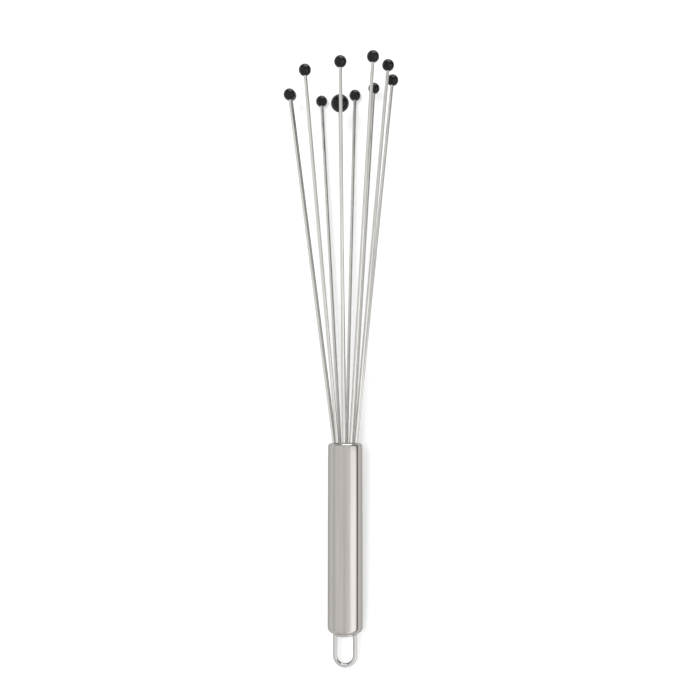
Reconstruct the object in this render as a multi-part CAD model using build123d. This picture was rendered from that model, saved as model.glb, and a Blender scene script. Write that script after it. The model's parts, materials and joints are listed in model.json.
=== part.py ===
from build123d import *
import os
from math import asin, atan2, cos, degrees, hypot, radians, sin

# Ball whisk: a steel tube handle, ten outer wires and one centre wire, each tipped with a ball.
# The whisk lies as it does on a table: balls towards +Y, hanging loop towards -Y, +Z up.
# The origin is on the table, under the middle of the whole whisk.
# Sizes are in millimetres and angles in degrees.

# Handle tube
handle_diameter = 18.0
handle_length = 96.5
handle_wall = 0.7
mouth_roll_radius = 1.6
rear_roll_radius = 2.7

# Wire holder, pressed into the mouth of the handle
holder_length = 6.0
holder_fit = 0.05
holder_edge_chamfer = 0.4

# Wires
wire_diameter = 1.8
wire_mouth_gap = 0.6
wire_count = 10
first_wire_angle = -11.0
wire_flex_outward = 5.0
wire_flex_inward = 4.0
wire_running_fit = 0.06
flare_clearance = 0.1
flare_overrun = 0.7
head_step = 0.25
head_thickness = 1.0
head_gap = 0.45

# Balls
outer_ball_diameter = 6.5
centre_ball_diameter = 9.9
ball_bond_gap = 0.02
wire_past_ball_centre = 1.0

# Where each outer ball stands, in order round the ring from the first wire: how far it is turned
# from its hole in the ring, how far it stands out from the axis of the bundle, and how far it
# reaches from the mouth of the handle. Hand-set wires are never quite even.
outer_tips = [
    (0.0, 28.6, 200.0),
    (2.0, 27.9, 200.7),
    (-5.0, 29.5, 200.3),
    (-6.0, 28.0, 196.0),
    (0.0, 28.1, 194.7),
    (0.0, 28.7, 187.4),
    (-2.0, 31.2, 193.9),
    (5.5, 29.8, 196.5),
    (8.0, 28.5, 200.1),
    (0.0, 26.6, 201.0),
]
bundle_lean = -2.0
centre_tip_lean = -3.0
centre_reach = 184.6

# Rear plug and hanging loop
plug_stand_out = 1.3
plug_edge_radius = 0.4
plug_flange_length = 5.0
plug_flange_fit = 0.05
plug_neck_gap = 0.3
loop_wire_diameter = 2.3
loop_side_gap = 0.05
loop_stand_out = 17.5
loop_fit = 0.04
loop_head_step = 0.5
loop_head_thickness = 1.0

# Worked out from the sizes above. The whisk is first drawn level, with its handle along the Y axis
# and the rear end of the handle tube at y = 0, and is tilted to rest on the table at the end.
handle_radius = handle_diameter / 2
bore_radius = handle_radius - handle_wall
mouth_radius = handle_radius - mouth_roll_radius
rear_opening_radius = handle_radius - rear_roll_radius
holder_front = handle_length - mouth_roll_radius
pivot_along = holder_front - holder_length / 2
wire_radius = wire_diameter / 2
mouth_ring_radius = mouth_radius - wire_mouth_gap - wire_radius
head_radius = wire_radius + head_step
outer_ball_radius = outer_ball_diameter / 2
centre_ball_radius = centre_ball_diameter / 2
loop_wire_radius = loop_wire_diameter / 2
loop_leg_offset = rear_opening_radius - loop_side_gap - loop_wire_radius
loop_head_radius = loop_wire_radius + loop_head_step
handle_end = Plane(origin=(0, 0, 0), x_dir=(1, 0, 0), z_dir=(0, 1, 0))


def rolled_profile(outer_radius, inner_radius, length, front_roll, rear_roll):
    """Half section of a tube whose two ends are rolled inwards by a quarter turn."""
    wall = outer_radius - inner_radius
    front_centre = (outer_radius - front_roll, length - front_roll)
    rear_centre = (outer_radius - rear_roll, rear_roll)
    with BuildSketch(Plane.XY) as sketch:
        with BuildLine():
            Line((outer_radius, rear_roll), (outer_radius, length - front_roll))
            CenterArc(front_centre, front_roll, 0, 90)
            Line((front_centre[0], length), (front_centre[0], length - wall))
            CenterArc(front_centre, front_roll - wall, 0, 90)
            Line((inner_radius, length - front_roll), (inner_radius, rear_roll))
            CenterArc(rear_centre, rear_roll - wall, 270, 90)
            Line((rear_centre[0], wall), (rear_centre[0], 0))
            CenterArc(rear_centre, rear_roll, 270, 90)
        make_face()
    return sketch.sketch


def make_handle_tube():
    section = rolled_profile(handle_radius, bore_radius, handle_length, mouth_roll_radius, rear_roll_radius)
    return revolve(section, Axis.Y, 360)


def ring_angle(index):
    return first_wire_angle + index * 360 / wire_count


def outer_tip(index):
    """Centre of an outer ball."""
    turn, spread, reach = outer_tips[index]
    angle = radians(ring_angle(index) + turn)
    return Vector(bundle_lean + spread * cos(angle), handle_length + reach, spread * sin(angle))


def outer_pivot(index):
    """Point where an outer wire is gripped, in line with its ball and its place in the mouth."""
    angle = radians(ring_angle(index))
    at_mouth = Vector(mouth_ring_radius * cos(angle), handle_length, mouth_ring_radius * sin(angle))
    slope = (outer_tip(index) - at_mouth) / outer_tips[index][2]
    return at_mouth - slope * (handle_length - pivot_along)


def centre_tip():
    return Vector(centre_tip_lean, handle_length + centre_reach, 0)


def centre_pivot():
    return Vector(0, pivot_along, 0)


def wire_plane(pivot, tip):
    """Plane whose normal runs along a wire, from its pivot to its ball."""
    return Plane(origin=pivot, z_dir=tip - pivot)


def make_wire(pivot, tip):
    """A straight wire with an upset head behind the holder and its tip inside the ball."""
    reach = (tip - pivot).length + wire_past_ball_centre
    head_front = -(holder_length / 2 + head_gap)
    plane = wire_plane(pivot, tip)
    head = plane * Pos(0, 0, head_front - head_thickness / 2) * Cylinder(head_radius, head_thickness)
    length = reach - head_front
    shank = plane * Pos(0, 0, head_front + length / 2) * Cylinder(wire_radius, length)
    return (shank + head).solid()


def make_ball(pivot, tip, radius):
    """A ball moulded over the end of a wire."""
    distance = (tip - pivot).length
    bore_end = distance + wire_past_ball_centre + ball_bond_gap
    bore_start = distance - radius
    ball = Pos(0, 0, distance) * Sphere(radius)
    bore_length = bore_end - bore_start
    bore = Pos(0, 0, bore_end - bore_length / 2) * Cylinder(wire_radius + ball_bond_gap, bore_length)
    return (wire_plane(pivot, tip) * (ball - bore)).solid()


def flared_hole(pivot, tip):
    """Hole that grips a wire at its middle and opens towards both faces, to let the wire flex."""
    waist = wire_radius + wire_running_fit
    half_length = holder_length / 2 + flare_overrun
    flex = max(wire_flex_outward, wire_flex_inward)
    mouth = waist + half_length * sin(radians(flex)) + flare_clearance
    plane = wire_plane(pivot, tip)
    front = plane * Pos(0, 0, half_length / 2) * Cone(waist, mouth, half_length)
    rear = plane * Pos(0, 0, -half_length / 2) * Cone(mouth, waist, half_length)
    return front + rear


def make_wire_holder():
    block = handle_end * Pos(0, 0, pivot_along) * Cylinder(bore_radius - holder_fit, holder_length)
    block = chamfer(block.edges().filter_by(GeomType.CIRCLE), holder_edge_chamfer)
    for index in range(wire_count):
        block = block - flared_hole(outer_pivot(index), outer_tip(index))
    return (block - flared_hole(centre_pivot(), centre_tip())).solid()


def rod(radius, low, high, across=0):
    """A round bar along the handle, from low to high, set sideways by across."""
    return handle_end * Pos(across, 0, (low + high) / 2) * Cylinder(radius, high - low)


def make_rear_plug():
    """A flanged plug behind the rear roll, with an open groove on each side for the loop's legs."""
    neck = rod(rear_opening_radius - plug_neck_gap, -plug_stand_out, rear_roll_radius)
    outer_edge = neck.edges().filter_by(GeomType.CIRCLE).sort_by(Axis.Y)[0]
    neck = fillet(outer_edge, plug_edge_radius)
    flange_end = rear_roll_radius + plug_flange_length
    plug = neck + rod(bore_radius - plug_flange_fit, rear_roll_radius, flange_end)
    groove_radius = loop_wire_radius + loop_fit
    for side in (-1, 1):
        plug -= rod(groove_radius, -plug_stand_out, flange_end, side * loop_leg_offset)
        slot_place = (side * (loop_leg_offset + groove_radius), 0, (rear_roll_radius - plug_stand_out) / 2)
        slot = Box(2 * groove_radius, 2 * groove_radius, rear_roll_radius + plug_stand_out)
        plug -= handle_end * Pos(slot_place) * slot
    return plug.solid()


def make_hanging_loop():
    """A round wire bent into a U, with both legs headed over behind the rear plug."""
    leg_end = rear_roll_radius + plug_flange_length + plug_flange_fit + loop_head_thickness
    bend_centre = loop_leg_offset + loop_wire_radius - loop_stand_out
    legs = [rod(loop_wire_radius, bend_centre, leg_end, side * loop_leg_offset) for side in (-1, 1)]
    section = handle_end * Pos(loop_leg_offset, 0, bend_centre) * Circle(loop_wire_radius)
    bend = revolve(section, Axis((0, bend_centre, 0), (0, 0, -1)), 180)
    head_start = leg_end - loop_head_thickness
    heads = [rod(loop_head_radius, head_start, leg_end, side * loop_leg_offset) for side in (-1, 1)]
    return (bend + legs + heads).solid()


def touching_tilt(tip):
    """Angle between the handle and the table when the rear roll and the ball at tip both touch it."""
    along = tip.Y - rear_roll_radius
    drop = -(handle_radius - rear_roll_radius) - tip.Z
    lift = outer_ball_radius - rear_roll_radius
    return degrees(atan2(drop, along) + asin(lift / hypot(drop, along)))


parts = {
    "handle_tube": make_handle_tube(),
    "wire_holder": make_wire_holder(),
    "rear_plug": make_rear_plug(),
    "hanging_loop": make_hanging_loop(),
    "centre_wire": make_wire(centre_pivot(), centre_tip()),
    "centre_ball": make_ball(centre_pivot(), centre_tip(), centre_ball_radius),
}
for index in range(wire_count):
    number = f"{index + 1:02d}"
    parts[f"outer_wire_{number}"] = make_wire(outer_pivot(index), outer_tip(index))
    parts[f"outer_ball_{number}"] = make_ball(outer_pivot(index), outer_tip(index), outer_ball_radius)

# Lay the whisk on the table, with the origin under the middle of its outline.
resting_tilt = max(touching_tilt(outer_tip(index)) for index in range(wire_count))
tilt = Rot(resting_tilt, 0, 0)
tilted_box = Compound(children=[tilt * part for part in parts.values()]).bounding_box()
table_point = Pos(-tilted_box.center().X, -tilted_box.center().Y, -tilted_box.min.Z)
placing = table_point * tilt

os.makedirs("parts", exist_ok=True)
for name, part in parts.items():
    export_step(placing * part, f"parts/{name}.step")
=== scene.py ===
import json
import math

import bpy
import numpy as np
from mathutils import Matrix, Vector


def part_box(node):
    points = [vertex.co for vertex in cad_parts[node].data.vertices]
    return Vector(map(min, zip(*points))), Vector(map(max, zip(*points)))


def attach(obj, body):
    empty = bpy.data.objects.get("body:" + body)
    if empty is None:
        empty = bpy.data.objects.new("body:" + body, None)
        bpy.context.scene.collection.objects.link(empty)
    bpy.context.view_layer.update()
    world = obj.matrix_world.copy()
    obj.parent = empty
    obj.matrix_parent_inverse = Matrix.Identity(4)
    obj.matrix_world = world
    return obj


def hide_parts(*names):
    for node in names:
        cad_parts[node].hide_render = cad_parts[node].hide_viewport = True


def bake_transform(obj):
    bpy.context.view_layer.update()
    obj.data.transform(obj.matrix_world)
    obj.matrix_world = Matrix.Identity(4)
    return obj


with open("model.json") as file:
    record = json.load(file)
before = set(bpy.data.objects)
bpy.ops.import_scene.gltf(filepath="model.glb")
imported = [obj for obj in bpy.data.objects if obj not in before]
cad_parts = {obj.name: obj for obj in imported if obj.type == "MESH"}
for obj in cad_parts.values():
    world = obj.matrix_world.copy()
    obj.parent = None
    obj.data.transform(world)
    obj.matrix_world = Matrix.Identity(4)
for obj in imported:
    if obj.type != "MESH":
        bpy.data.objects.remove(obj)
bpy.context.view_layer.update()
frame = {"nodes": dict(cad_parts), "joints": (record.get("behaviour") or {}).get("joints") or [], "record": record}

nodes = frame["nodes"]
record = frame["record"]
scene = bpy.context.scene
millimetre = 0.001


# where things are, all read from the frame

def unit(vector):
    return vector / np.linalg.norm(vector)


grip = next(mount for mount in record["mounts"] if mount["name"] == "handle_grip")
alongHandle = -unit(np.array(grip["axis"]))          # from the loop to the mouth
acrossHandle = np.array([1.0, 0.0, 0.0])
upHandle = np.cross(acrossHandle, alongHandle)
gripCentre = np.array(grip["pos_m"])
handleRadius = grip["dims"]["r_mm"] * millimetre


# all vertices of a CAD node as one array
def meshPoints(node):
    points = np.empty(len(nodes[node].data.vertices) * 3)
    nodes[node].data.vertices.foreach_get("co", points)
    return points.reshape(-1, 3)


# lowest and highest distance of a node's points along a direction from an origin
def reachAlong(node, direction=alongHandle, origin=gripCentre):
    distances = (meshPoints(node) - origin) @ direction
    return distances.min(), distances.max()


# the middle of a node's box
def middle(node):
    low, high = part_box(node)
    return (np.array(low) + np.array(high)) / 2


tubeRear, tubeMouth = reachAlong("handle_tube")
mouthPoint = gripCentre + alongHandle * tubeMouth
flexJoints = {joint["child"]: joint for joint in frame["joints"]}


# surfaces

# a ring of points is carried along a path. Ring i is
# centre_i + radius_i * (cos(a) * sideways_i + sin(a) * upward_i), with a going once round.
# A first or last radius of zero is a pole, one point that closes the end with a fan.
def sweptSurface(name, centres, sideways, upward, radii, sides, closed=False):
    angle = np.linspace(0, 2 * np.pi, sides, endpoint=False)
    startPole = not closed and radii[0] == 0
    endPole = not closed and radii[-1] == 0
    first = 1 if startPole else 0
    last = len(radii) - 1 if endPole else len(radii)
    ring = (np.cos(angle)[None, :, None] * sideways[first:last, None, :]
            + np.sin(angle)[None, :, None] * upward[first:last, None, :])
    points = (centres[first:last, None, :] + radii[first:last, None, None] * ring).reshape(-1, 3)
    rows = last - first
    strides = np.linalg.norm(np.diff(centres, axis=0), axis=1) + np.abs(np.diff(radii))
    steps = np.concatenate([[0], np.cumsum(strides)])
    lastStride = np.linalg.norm(centres[0] - centres[-1]) + abs(radii[0] - radii[-1])
    row = np.arange(rows if closed else rows - 1)[:, None]
    column = np.arange(sides)[None, :]
    nextRow, nextColumn = (row + 1) % rows, (column + 1) % sides
    quads = np.stack([row * sides + column, row * sides + nextColumn,
                      nextRow * sides + nextColumn, nextRow * sides + column], axis=-1).reshape(-1, 4)
    across = np.stack(np.broadcast_arrays(column, column + 1, column + 1, column), axis=-1) / sides
    lengthAt = steps[first:last]
    nextLength = np.append(lengthAt[1:], steps[-1] + lastStride) if closed else lengthAt[1:]
    rowLength = lengthAt[: len(row)]
    down = np.stack([rowLength, rowLength, nextLength, nextLength], axis=-1)[:, None, :]
    uv = np.stack(np.broadcast_arrays(across, down), axis=-1).reshape(-1, 2)
    faces = quads.tolist()
    spot = np.arange(sides)
    spotNext = (spot + 1) % sides
    poles = []
    if startPole:
        poles.append(centres[0])
        tip = len(points)
        faces += np.stack([spotNext, spot, np.full(sides, tip)], axis=-1).tolist()
        fan = np.stack([(spot + 1) / sides, spot / sides, (spot + 0.5) / sides], axis=-1)
        uv = np.vstack([uv, np.stack([fan, np.full_like(fan, steps[0])], axis=-1).reshape(-1, 2)])
    if endPole:
        poles.append(centres[-1])
        tip = len(points) + len(poles) - 1
        base = (rows - 1) * sides
        faces += np.stack([base + spot, base + spotNext, np.full(sides, tip)], axis=-1).tolist()
        fan = np.stack([spot / sides, (spot + 1) / sides, (spot + 0.5) / sides], axis=-1)
        uv = np.vstack([uv, np.stack([fan, np.full_like(fan, steps[-1])], axis=-1).reshape(-1, 2)])
    if poles:
        points = np.vstack([points, poles])
    mesh = bpy.data.meshes.new(name)
    mesh.from_pydata(points.tolist(), [], faces)
    mesh.uv_layers.new(name="along").data.foreach_set("uv", uv.astype(np.float32).ravel())
    mesh.shade_smooth()
    piece = bpy.data.objects.new(name, mesh)
    scene.collection.objects.link(piece)
    return piece


# a profile of (distance along, radius) rows is turned once round a straight axis
def turnedSurface(name, origin, direction, profile, sides, closed=False):
    direction = unit(direction)
    sideways = unit(np.cross(direction, upHandle))
    upward = np.cross(direction, sideways)
    profile = np.asarray(profile)
    centres = origin + profile[:, :1] * direction
    count = (len(profile), 1)
    return sweptSurface(name, centres, np.tile(sideways, count), np.tile(upward, count),
                        profile[:, 1], sides, closed)


# rows of (along, radius) on a round corner, from the start angle to the end angle in degrees
def arc(centreAlong, centreRadius, radius, start, end, steps):
    turn = np.radians(np.linspace(start, end, steps))
    return np.stack([centreAlong + radius * np.sin(turn), centreRadius + radius * np.cos(turn)], axis=-1)


# edges sharper than an angle in degrees stay crisp
def crisp(piece, degrees):
    piece.data.set_sharp_from_angle(angle=math.radians(degrees))


# materials

# an empty shader group with named sockets
def newGroup(name, inputs, outputs):
    group = bpy.data.node_groups.new(name, "ShaderNodeTree")
    for label, kind, value in inputs:
        socket = group.interface.new_socket(label, in_out="INPUT", socket_type=kind)
        if value is not None:
            socket.default_value = value
    for label, kind in outputs:
        group.interface.new_socket(label, in_out="OUTPUT", socket_type=kind)
    start = group.nodes.new("NodeGroupInput")
    end = group.nodes.new("NodeGroupOutput")
    return group, start, end


# three noises for any surface: fine grain, broader streaks and slow cloudy wear.
# A vector that is stretched along the piece turns them into brushing.
def makeGrainGroup():
    group, start, end = newGroup("fineGrain",
        [("Vector", "NodeSocketVector", None), ("Lines", "NodeSocketFloat", 4000.0),
         ("Bands", "NodeSocketFloat", 500.0), ("Clouds", "NodeSocketFloat", 60.0)],
        [("Grain", "NodeSocketFloat"), ("Streaks", "NodeSocketFloat"), ("Wear", "NodeSocketFloat")])
    links, add = group.links, group.nodes.new
    masks = (("Grain", "Lines", 3.0), ("Streaks", "Bands", 2.0), ("Wear", "Clouds", 4.0))
    noiseRoughness = 0.6
    for output, scaleInput, detail in masks:
        noise = add("ShaderNodeTexNoise")
        noise.inputs["Detail"].default_value = detail
        noise.inputs["Roughness"].default_value = noiseRoughness
        links.new(start.outputs["Vector"], noise.inputs["Vector"])
        links.new(start.outputs[scaleInput], noise.inputs["Scale"])
        links.new(noise.outputs["Fac"], end.inputs[output])
    return group


fineGrain = makeGrainGroup()


# a material with its tree and its Principled shader
def newMaterial(name):
    material = bpy.data.materials.new(name)
    material.use_nodes = True
    tree = material.node_tree
    return material, tree, tree.nodes["Principled BSDF"]


# spreads a mask over a new range of values. Noise seldom leaves 0.3 to 0.7.
def rangeNode(tree, source, low, high, fromLow=0.3, fromHigh=0.7):
    node = tree.nodes.new("ShaderNodeMapRange")
    node.inputs["From Min"].default_value = fromLow
    node.inputs["From Max"].default_value = fromHigh
    node.inputs["To Min"].default_value = low
    node.inputs["To Max"].default_value = high
    tree.links.new(source, node.inputs["Value"])
    return node.outputs["Result"]


# a colour between dark and light, as the mask says
def tintNode(tree, mask, dark, light):
    node = tree.nodes.new("ShaderNodeMix")
    node.data_type = "RGBA"
    node.inputs["A"].default_value = (*dark, 1)
    node.inputs["B"].default_value = (*light, 1)
    tree.links.new(mask, node.inputs["Factor"])
    return node.outputs["Result"]


# a Math node whose inputs are sockets or plain numbers
def mathNode(tree, operation, *values):
    node = tree.nodes.new("ShaderNodeMath")
    node.operation = operation
    for socket, value in zip(node.inputs, values):
        if isinstance(value, (int, float)):
            socket.default_value = value
        else:
            tree.links.new(value, socket)
    return node.outputs["Value"]


# fine relief from a mask
def addBump(tree, shader, height, strength, distance):
    bump = tree.nodes.new("ShaderNodeBump")
    bump.inputs["Strength"].default_value = strength
    bump.inputs["Distance"].default_value = distance
    tree.links.new(height, bump.inputs["Height"])
    tree.links.new(bump.outputs["Normal"], shader.inputs["Normal"])


# the shared grain on a shader: streaks set the colour, slow wear the roughness, fine grain the relief
def dressWithGrain(tree, shader, vector, look):
    grain = tree.nodes.new("ShaderNodeGroup")
    grain.node_tree = fineGrain
    grain.inputs["Lines"].default_value = look["lines"]
    grain.inputs["Bands"].default_value = look["bands"]
    grain.inputs["Clouds"].default_value = look["clouds"]
    tree.links.new(vector, grain.inputs["Vector"])
    streaks = rangeNode(tree, grain.outputs["Streaks"], 0, 1)
    tree.links.new(tintNode(tree, streaks, look["dark"], look["light"]), shader.inputs["Base Color"])
    wear = rangeNode(tree, grain.outputs["Wear"], look["smooth"], look["rough"])
    tree.links.new(wear, shader.inputs["Roughness"])
    addBump(tree, shader, grain.outputs["Grain"], look["bump"], look["depth"])


# brushed or drawn steel. The pattern reads the piece's own map: round it, and along it.
def steelMaterial(name, look):
    material, tree, shader = newMaterial(name)
    place = tree.nodes.new("ShaderNodeUVMap")
    place.uv_map = "along"
    mapping = tree.nodes.new("ShaderNodeMapping")
    mapping.inputs["Scale"].default_value = (look["round"], look["stretch"], 1)
    tree.links.new(place.outputs["UV"], mapping.inputs["Vector"])
    dressWithGrain(tree, shader, mapping.outputs["Vector"], look)
    shader.inputs["Metallic"].default_value = 1.0
    shader.inputs["Specular Tint"].default_value = (look["edge"],) * 3 + (1,)
    return material


handleLook = {"round": 0.0565, "stretch": 0.02, "lines": 5200.0, "bands": 700.0, "clouds": 150.0,
              "dark": (0.360, 0.339, 0.324), "light": (0.395, 0.379, 0.364), "edge": 0.55,
              "smooth": 0.14, "rough": 0.19, "bump": 0.1, "depth": 0.00002}
wireLook = {"round": 0.005, "stretch": 0.03, "lines": 6000.0, "bands": 1800.0, "clouds": 300.0,
            "dark": (0.48, 0.47, 0.45), "light": (0.56, 0.55, 0.53), "edge": 0.5,
            "smooth": 0.10, "rough": 0.17, "bump": 0.2, "depth": 0.00003}
loopLook = {"round": 0.0063, "stretch": 0.03, "lines": 6000.0, "bands": 1500.0, "clouds": 300.0,
            "dark": (0.40, 0.39, 0.38), "light": (0.47, 0.46, 0.45), "edge": 0.45,
            "smooth": 0.08, "rough": 0.15, "bump": 0.2, "depth": 0.00003}
handleSteel = steelMaterial("handleSteel", handleLook)
wireSteel = steelMaterial("wireSteel", wireLook)
loopSteel = steelMaterial("loopSteel", loopLook)


# moulded silicone or nylon: a fine even grain in the surface and slight cloudiness in the shine
def softMaterial(name, look):
    material, tree, shader = newMaterial(name)
    place = tree.nodes.new("ShaderNodeTexCoord")
    dressWithGrain(tree, shader, place.outputs["Object"], look)
    shader.inputs["IOR"].default_value = look["ior"]
    return material


ballLook = {"lines": 5000.0, "bands": 900.0, "clouds": 350.0,
            "dark": (0.003, 0.003, 0.0034), "light": (0.006, 0.006, 0.006),
            "smooth": 0.13, "rough": 0.22, "ior": 1.28, "bump": 0.3, "depth": 0.00003}
holderLook = {"lines": 4000.0, "bands": 600.0, "clouds": 250.0,
              "dark": (0.05, 0.05, 0.052), "light": (0.075, 0.075, 0.078),
              "smooth": 0.5, "rough": 0.62, "ior": 1.5, "bump": 0.3, "depth": 0.00005}
ballSilicone = softMaterial("ballSilicone", ballLook)
holderNylon = softMaterial("holderNylon", holderLook)
print("materials made")


# handle tube

tubeShape = {"wall": 0.7 * millimetre, "mouthRoll": 1.6 * millimetre, "rearRoll": 2.7 * millimetre,
             "sides": 224, "cornerSteps": 12, "lengthSteps": 24, "crispAngle": 40}


# the tube's wall in section, turned round the handle: out along the outside, over the mouth's
# quarter-round roll, back along the bore and over the rear roll
def makeHandleTube(shape):
    wall, front, rear = shape["wall"], shape["mouthRoll"], shape["rearRoll"]
    steps = shape["cornerSteps"]
    straight = np.linspace(tubeRear + rear, tubeMouth - front, shape["lengthSteps"])[1:-1]
    bore = handleRadius - wall
    profile = np.vstack([
        arc(tubeRear + rear, handleRadius - rear, rear, -90, 0, steps),
        np.stack([straight, np.full_like(straight, handleRadius)], axis=-1),
        arc(tubeMouth - front, handleRadius - front, front, 0, 90, steps),
        arc(tubeMouth - front, handleRadius - front, front - wall, 90, 0, steps),
        np.stack([straight[::-1], np.full_like(straight, bore)], axis=-1),
        arc(tubeRear + rear, handleRadius - rear, rear - wall, 0, -90, steps)])
    piece = turnedSurface("handle_shell", gripCentre, alongHandle, profile, shape["sides"], closed=True)
    piece.data.materials.append(handleSteel)
    crisp(piece, shape["crispAngle"])
    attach(piece, "handle")
    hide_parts("handle_tube")
    return piece


makeHandleTube(tubeShape)
print("handle made")


# hanging loop

loopShape = {"wire": 1.15 * millimetre, "headExtra": 0.5 * millimetre, "headLength": 1.0 * millimetre,
             "bendSteps": 48, "legSteps": 10, "sides": 40, "crispAngle": 40}


# a round wire carried down one leg, round half a circle and up the other leg
def makeHangingLoop(shape):
    low, high = reachAlong("hanging_loop")
    sideLow, sideHigh = reachAlong("hanging_loop", acrossHandle)
    bendRadius = (sideHigh - sideLow) / 2 - shape["wire"] - shape["headExtra"]
    bendAt = low + shape["wire"] + bendRadius
    leg = np.linspace(high, bendAt, shape["legSteps"])[:-1]
    headEnd = high - shape["headLength"]
    leg = np.concatenate([[high, high, headEnd, headEnd], leg[leg < headEnd]])
    turn = np.linspace(0, np.pi, shape["bendSteps"])
    along = np.concatenate([leg, bendAt - bendRadius * np.sin(turn), leg[::-1]])
    across = bendRadius * np.concatenate([-np.ones_like(leg), -np.cos(turn), np.ones_like(leg)])
    heading = np.concatenate([np.zeros_like(leg), turn, np.full_like(leg, np.pi)])
    radii = np.full_like(along, shape["wire"])
    head = shape["wire"] + shape["headExtra"]
    radii[:3] = [0, head, head]
    radii[-3:] = [head, head, 0]
    centres = gripCentre + along[:, None] * alongHandle + across[:, None] * acrossHandle
    inward = np.cos(heading)[:, None] * acrossHandle + np.sin(heading)[:, None] * alongHandle
    upward = np.tile(upHandle, (len(along), 1))
    piece = sweptSurface("hanging_wire", centres, upward, inward, radii, shape["sides"])
    piece.data.materials.append(loopSteel)
    crisp(piece, shape["crispAngle"])
    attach(piece, "handle")
    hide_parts("hanging_loop")
    return piece


makeHangingLoop(loopShape)
print("hanging loop made")


# wires and balls

wireShape = {"radius": 0.9 * millimetre, "headExtra": 0.25 * millimetre, "headLength": 1.0 * millimetre,
             "sides": 24, "steps": 72, "straightShare": 0.02, "bentShare": 0.7, "crispAngle": 40}
ballShape = {"sides": 64, "steps": 40, "lipSteps": 6, "lipRound": 0.06 * millimetre,
             "boreGap": 0.01 * millimetre, "boreDepth": 0.8 * millimetre, "crispAngle": 50}


# a straight drawn wire with a headed rear end. It is one long surface with many rings along its length.
def makeWire(body, node, shape):
    pivot = np.array(flexJoints[body]["pos_m"])
    direction = unit(middle(node.replace("wire", "ball")) - pivot)
    start, end = reachAlong(node, direction, pivot)
    radius = shape["radius"]
    head = radius + shape["headExtra"]
    headEnd = start + shape["headLength"]
    shank = np.linspace(headEnd, end, shape["steps"])
    profile = np.vstack([[(start, 0), (start, head), (headEnd, head)],
                         np.stack([shank, np.full_like(shank, radius)], axis=-1),
                         [(end, 0)]])
    name = node.replace("_wire", "_spring_wire")
    piece = turnedSurface(name, pivot, direction, profile, shape["sides"])
    piece.data.materials.append(wireSteel)
    crisp(piece, shape["crispAngle"])
    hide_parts(node)
    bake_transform(piece)
    return piece


# a ball in section, turned round its wire: the bore, a small round lip that meets both the bore
# and the ball without an edge, then a circle to the far pole
def makeBall(body, node, shape):
    pivot = np.array(flexJoints[body]["pos_m"])
    centre = middle(node)
    low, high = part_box(node)
    radius = (high[0] - low[0]) / 2
    bore = wireShape["radius"] + shape["boreGap"]
    lip = shape["lipRound"]
    lipRadius = bore + lip
    lipAlong = -math.sqrt((radius - lip) ** 2 - lipRadius ** 2)
    meeting = math.atan2(lipRadius, lipAlong)
    lipTurn = np.linspace(1.5 * np.pi, meeting, shape["lipSteps"])
    lipRows = np.stack([lipAlong + lip * np.cos(lipTurn), lipRadius + lip * np.sin(lipTurn)], axis=-1)
    turn = np.linspace(meeting, 0, shape["steps"])[1:]
    roundRows = radius * np.stack([np.cos(turn), np.sin(turn)], axis=-1)
    roundRows[-1, 1] = 0
    deep = lipAlong + shape["boreDepth"]
    profile = np.vstack([[(deep, 0), (deep, bore)], lipRows, roundRows])
    name = node.replace("_ball", "_soft_ball")
    piece = turnedSurface(name, centre, unit(centre - pivot), profile, shape["sides"])
    piece.data.materials.append(ballSilicone)
    crisp(piece, shape["crispAngle"])
    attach(piece, body)
    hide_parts(node)
    return piece


for body in sorted(flexJoints):
    for node in record["behaviour"]["bodies"][body]:
        if "wire" in node:
            makeWire(body, node, wireShape)
        else:
            makeBall(body, node, ballShape)
print("wires and balls made")


# pieces kept as they are in the frame

# a node of the frame keeps its mesh and takes a material
def dressNode(node, material):
    mesh = nodes[node].data
    mesh.materials.clear()
    mesh.materials.append(material)


plugLook = {"lines": 4500.0, "bands": 900.0, "clouds": 250.0,
            "dark": (0.36, 0.338, 0.325), "light": (0.41, 0.39, 0.375),
            "smooth": 0.3, "rough": 0.4, "ior": 1.5, "bump": 0.25, "depth": 0.00004}
plugSteel = softMaterial("plugSteel", plugLook)
plugSteel.node_tree.nodes["Principled BSDF"].inputs["Metallic"].default_value = 1.0
dressNode("wire_holder", holderNylon)
dressNode("rear_plug", plugSteel)
print("holder and plug dressed")


# floor, lights and camera

floorLook = {"size": 6.0, "colour": (0.60, 0.60, 0.60), "rough": 0.9, "glow": 0.28}


# a plain pale floor. It glows only where it is seen directly, mirrored or through something,
# so it turns white and keeps the whisk's shadow
def makeFloor(look):
    half = look["size"] / 2
    mesh = bpy.data.meshes.new("floor")
    corners = [(-half, -half, 0), (half, -half, 0), (half, half, 0), (-half, half, 0)]
    mesh.from_pydata(corners, [], [(0, 1, 2, 3)])
    floor = bpy.data.objects.new("floor", mesh)
    scene.collection.objects.link(floor)
    material, tree, shader = newMaterial("paleFloor")
    shader.inputs["Base Color"].default_value = (*look["colour"], 1)
    shader.inputs["Roughness"].default_value = look["rough"]
    rays = tree.nodes.new("ShaderNodeLightPath")
    reflected = mathNode(tree, "MAXIMUM", rays.outputs["Is Glossy Ray"], rays.outputs["Is Transmission Ray"])
    seen = mathNode(tree, "MAXIMUM", rays.outputs["Is Camera Ray"], reflected)
    glow = mathNode(tree, "MULTIPLY", seen, look["glow"])
    shader.inputs["Emission Color"].default_value = (1, 1, 1, 1)
    tree.links.new(glow, shader.inputs["Emission Strength"])
    mesh.materials.append(material)


makeFloor(floorLook)

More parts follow.
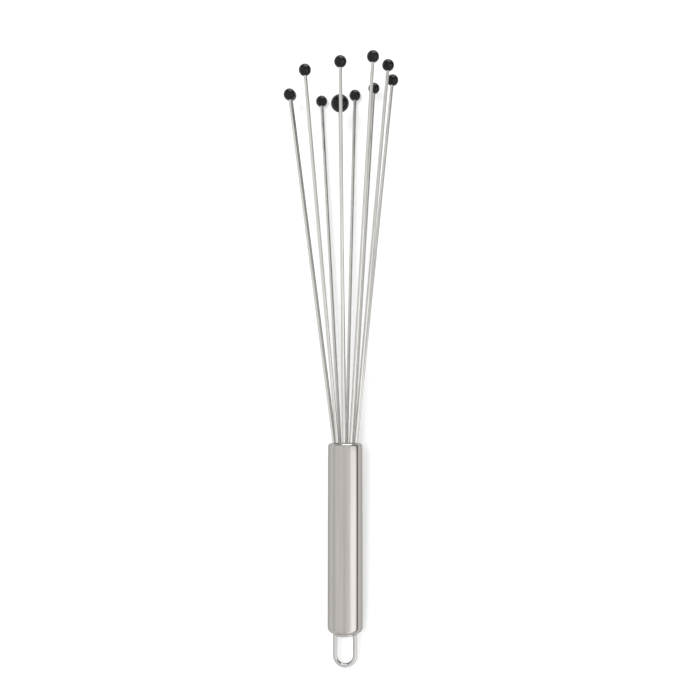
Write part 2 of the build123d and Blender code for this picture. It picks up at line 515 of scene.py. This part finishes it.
# the studio's brightness round the whisk's length, in degrees from straight up, left side first:
# a plain tent with a long soft panel to the right. "lengthwise" dims the tent towards both of its ends,
# and a dark flag takes most of the panel away beyond the handle.
worldLook = {"strength": 2.4, "flagDepth": 0.88,
             "round": ((-180, 0.60), (-92, 0.95), (-80, 1.08), (-62, 1.30), (-27, 1.34), (-13, 1.22),
                       (2, 1.21), (12, 1.34), (24, 1.37), (31, 1.56), (42, 2.14), (52, 2.34), (68, 2.30),
                       (77, 1.95), (82, 0.90), (92, 0.60), (180, 0.60)),
             "lengthwise": ((-1.0, 0.90), (-0.80, 0.90), (-0.50, 1.0), (0.44, 1.0), (0.52, 0.25),
                            (0.62, 0.25), (0.72, 0.45), (1.0, 0.45)),
             "flagRound": ((-180, 0), (16, 0), (28, 1), (88, 1), (96, 0), (180, 0)),
             "flagLengthwise": ((-1.0, 0), (-0.02, 0), (0.07, 0.60), (0.22, 0.66), (0.34, 1), (0.62, 1),
                                (0.70, 0), (1.0, 0))}


# a grey ramp over low to high. Its brightest value is top.
def rampNode(tree, share, stops, low, high, top):
    ramp = tree.nodes.new("ShaderNodeValToRGB")
    tree.links.new(share, ramp.inputs["Fac"])
    elements = ramp.color_ramp.elements
    while len(elements) < len(stops):
        elements.new(0.5)
    for element, (place, brightness) in zip(elements, stops):
        element.position = (place - low) / (high - low)
        level = brightness / top
        element.color = (level, level, level, 1)
    return ramp.outputs["Color"]


# a direction's brightness comes from its angle round the Y axis, and from its share of Y.
# The camera sees plain white.
def makeWorld(look):
    world = bpy.data.worlds.new("studio")
    scene.world = world
    world.use_nodes = True
    tree = world.node_tree
    back = tree.nodes["Background"]
    place = tree.nodes.new("ShaderNodeTexCoord")
    split = tree.nodes.new("ShaderNodeSeparateXYZ")
    tree.links.new(place.outputs["Generated"], split.inputs["Vector"])
    turn = mathNode(tree, "ARCTAN2", split.outputs["X"], split.outputs["Z"])
    roundShare = mathNode(tree, "MULTIPLY_ADD", turn, 0.5 / math.pi, 0.5)
    lengthShare = mathNode(tree, "MULTIPLY_ADD", split.outputs["Y"], 0.5, 0.5)
    roundLevel = rampNode(tree, roundShare, look["round"], -180, 180, look["strength"])
    lengthLevel = rampNode(tree, lengthShare, look["lengthwise"], -1, 1, 1)
    flagRound = rampNode(tree, roundShare, look["flagRound"], -180, 180, 1)
    flagLength = rampNode(tree, lengthShare, look["flagLengthwise"], -1, 1, 1)
    flag = mathNode(tree, "MULTIPLY", flagRound, flagLength)
    unflagged = mathNode(tree, "MULTIPLY_ADD", flag, -look["flagDepth"], 1.0)
    level = mathNode(tree, "MULTIPLY", mathNode(tree, "MULTIPLY", roundLevel, lengthLevel), unflagged)
    white = 1 / look["strength"]
    rays = tree.nodes.new("ShaderNodeLightPath")
    seen = tree.nodes.new("ShaderNodeMix")
    seen.data_type = "FLOAT"
    seen.inputs["B"].default_value = white
    tree.links.new(rays.outputs["Is Camera Ray"], seen.inputs["Factor"])
    tree.links.new(level, seen.inputs["A"])
    tree.links.new(seen.outputs["Result"], back.inputs["Color"])
    back.inputs["Strength"].default_value = look["strength"]


makeWorld(worldLook)

# an upright black card along the right side, which draws the handle's crisp dark line
cardLook = {"place": 0.20, "height": 0.036, "length": 1.6, "colour": (0.05, 0.05, 0.05), "rough": 0.9}


# the card shows only in mirror-like pieces
def makeCard(look):
    half = look["length"] / 2
    mesh = bpy.data.meshes.new("black_card")
    place, height = look["place"], look["height"]
    corners = [(place, -half, 0), (place, half, 0), (place, half, height), (place, -half, height)]
    mesh.from_pydata(corners, [], [(0, 1, 2, 3)])
    card = bpy.data.objects.new("black_card", mesh)
    scene.collection.objects.link(card)
    material, tree, shader = newMaterial("blackCard")
    shader.inputs["Base Color"].default_value = (*look["colour"], 1)
    shader.inputs["Roughness"].default_value = look["rough"]
    mesh.materials.append(material)
    card.visible_camera = False
    card.visible_diffuse = False
    card.visible_shadow = False


makeCard(cardLook)


# the first lamp draws the handle's soft shadow, the second a glint on the balls
lampLooks = {"overhead_left": {"width": 0.5, "height": 0.5, "power": 14.0, "place": (-0.42, 0.0, 1.5),
                               "shines": True, "mirrored": False},
             "far_side": {"width": 1.3, "height": 1.0, "power": 21.0, "place": (0.25, 1.35, 0.68),
                          "shines": False, "mirrored": True}}


# a rectangular lamp that faces the origin
def addLamp(name, look):
    lamp = bpy.data.lights.new(name, "AREA")
    lamp.shape = "RECTANGLE"
    lamp.size = look["width"]
    lamp.size_y = look["height"]
    lamp.energy = look["power"]
    holder = bpy.data.objects.new(name, lamp)
    scene.collection.objects.link(holder)
    place = Vector(look["place"])
    holder.location = place
    holder.rotation_euler = (-place).to_track_quat("-Z", "Y").to_euler()
    holder.visible_diffuse = look["shines"]
    holder.visible_glossy = look["mirrored"]


for name, look in lampLooks.items():
    addLamp(name, look)

cameraLook = {"distance": 0.4666, "behindMouth": 0.0486, "aheadOfThat": 0.0972, "toTheRight": 0.0025,
              "tilt": 6.1, "lens": 46.29, "sensor": 36.0, "nearest": 0.01}


# the camera looks down on the whisk, square to a line tilted a little from the handle
def makeCamera(look):
    lift = math.radians(look["tilt"])
    up = math.cos(lift) * alongHandle + math.sin(lift) * upHandle
    back = np.cross(acrossHandle, up)
    middleOfHandle = mouthPoint - look["behindMouth"] * alongHandle
    aim = middleOfHandle + look["toTheRight"] * acrossHandle + look["aheadOfThat"] * up
    place = aim + look["distance"] * back
    camera = bpy.data.cameras.new("camera")
    camera.lens = look["lens"]
    camera.sensor_width = look["sensor"]
    camera.clip_start = look["nearest"]
    holder = bpy.data.objects.new("camera", camera)
    scene.collection.objects.link(holder)
    turn = Matrix((acrossHandle, up, back)).transposed().to_4x4()
    turn.translation = Vector(place)
    holder.matrix_world = turn
    scene.camera = holder


makeCamera(cameraLook)
scene.view_settings.view_transform = "Standard"
print("studio made")
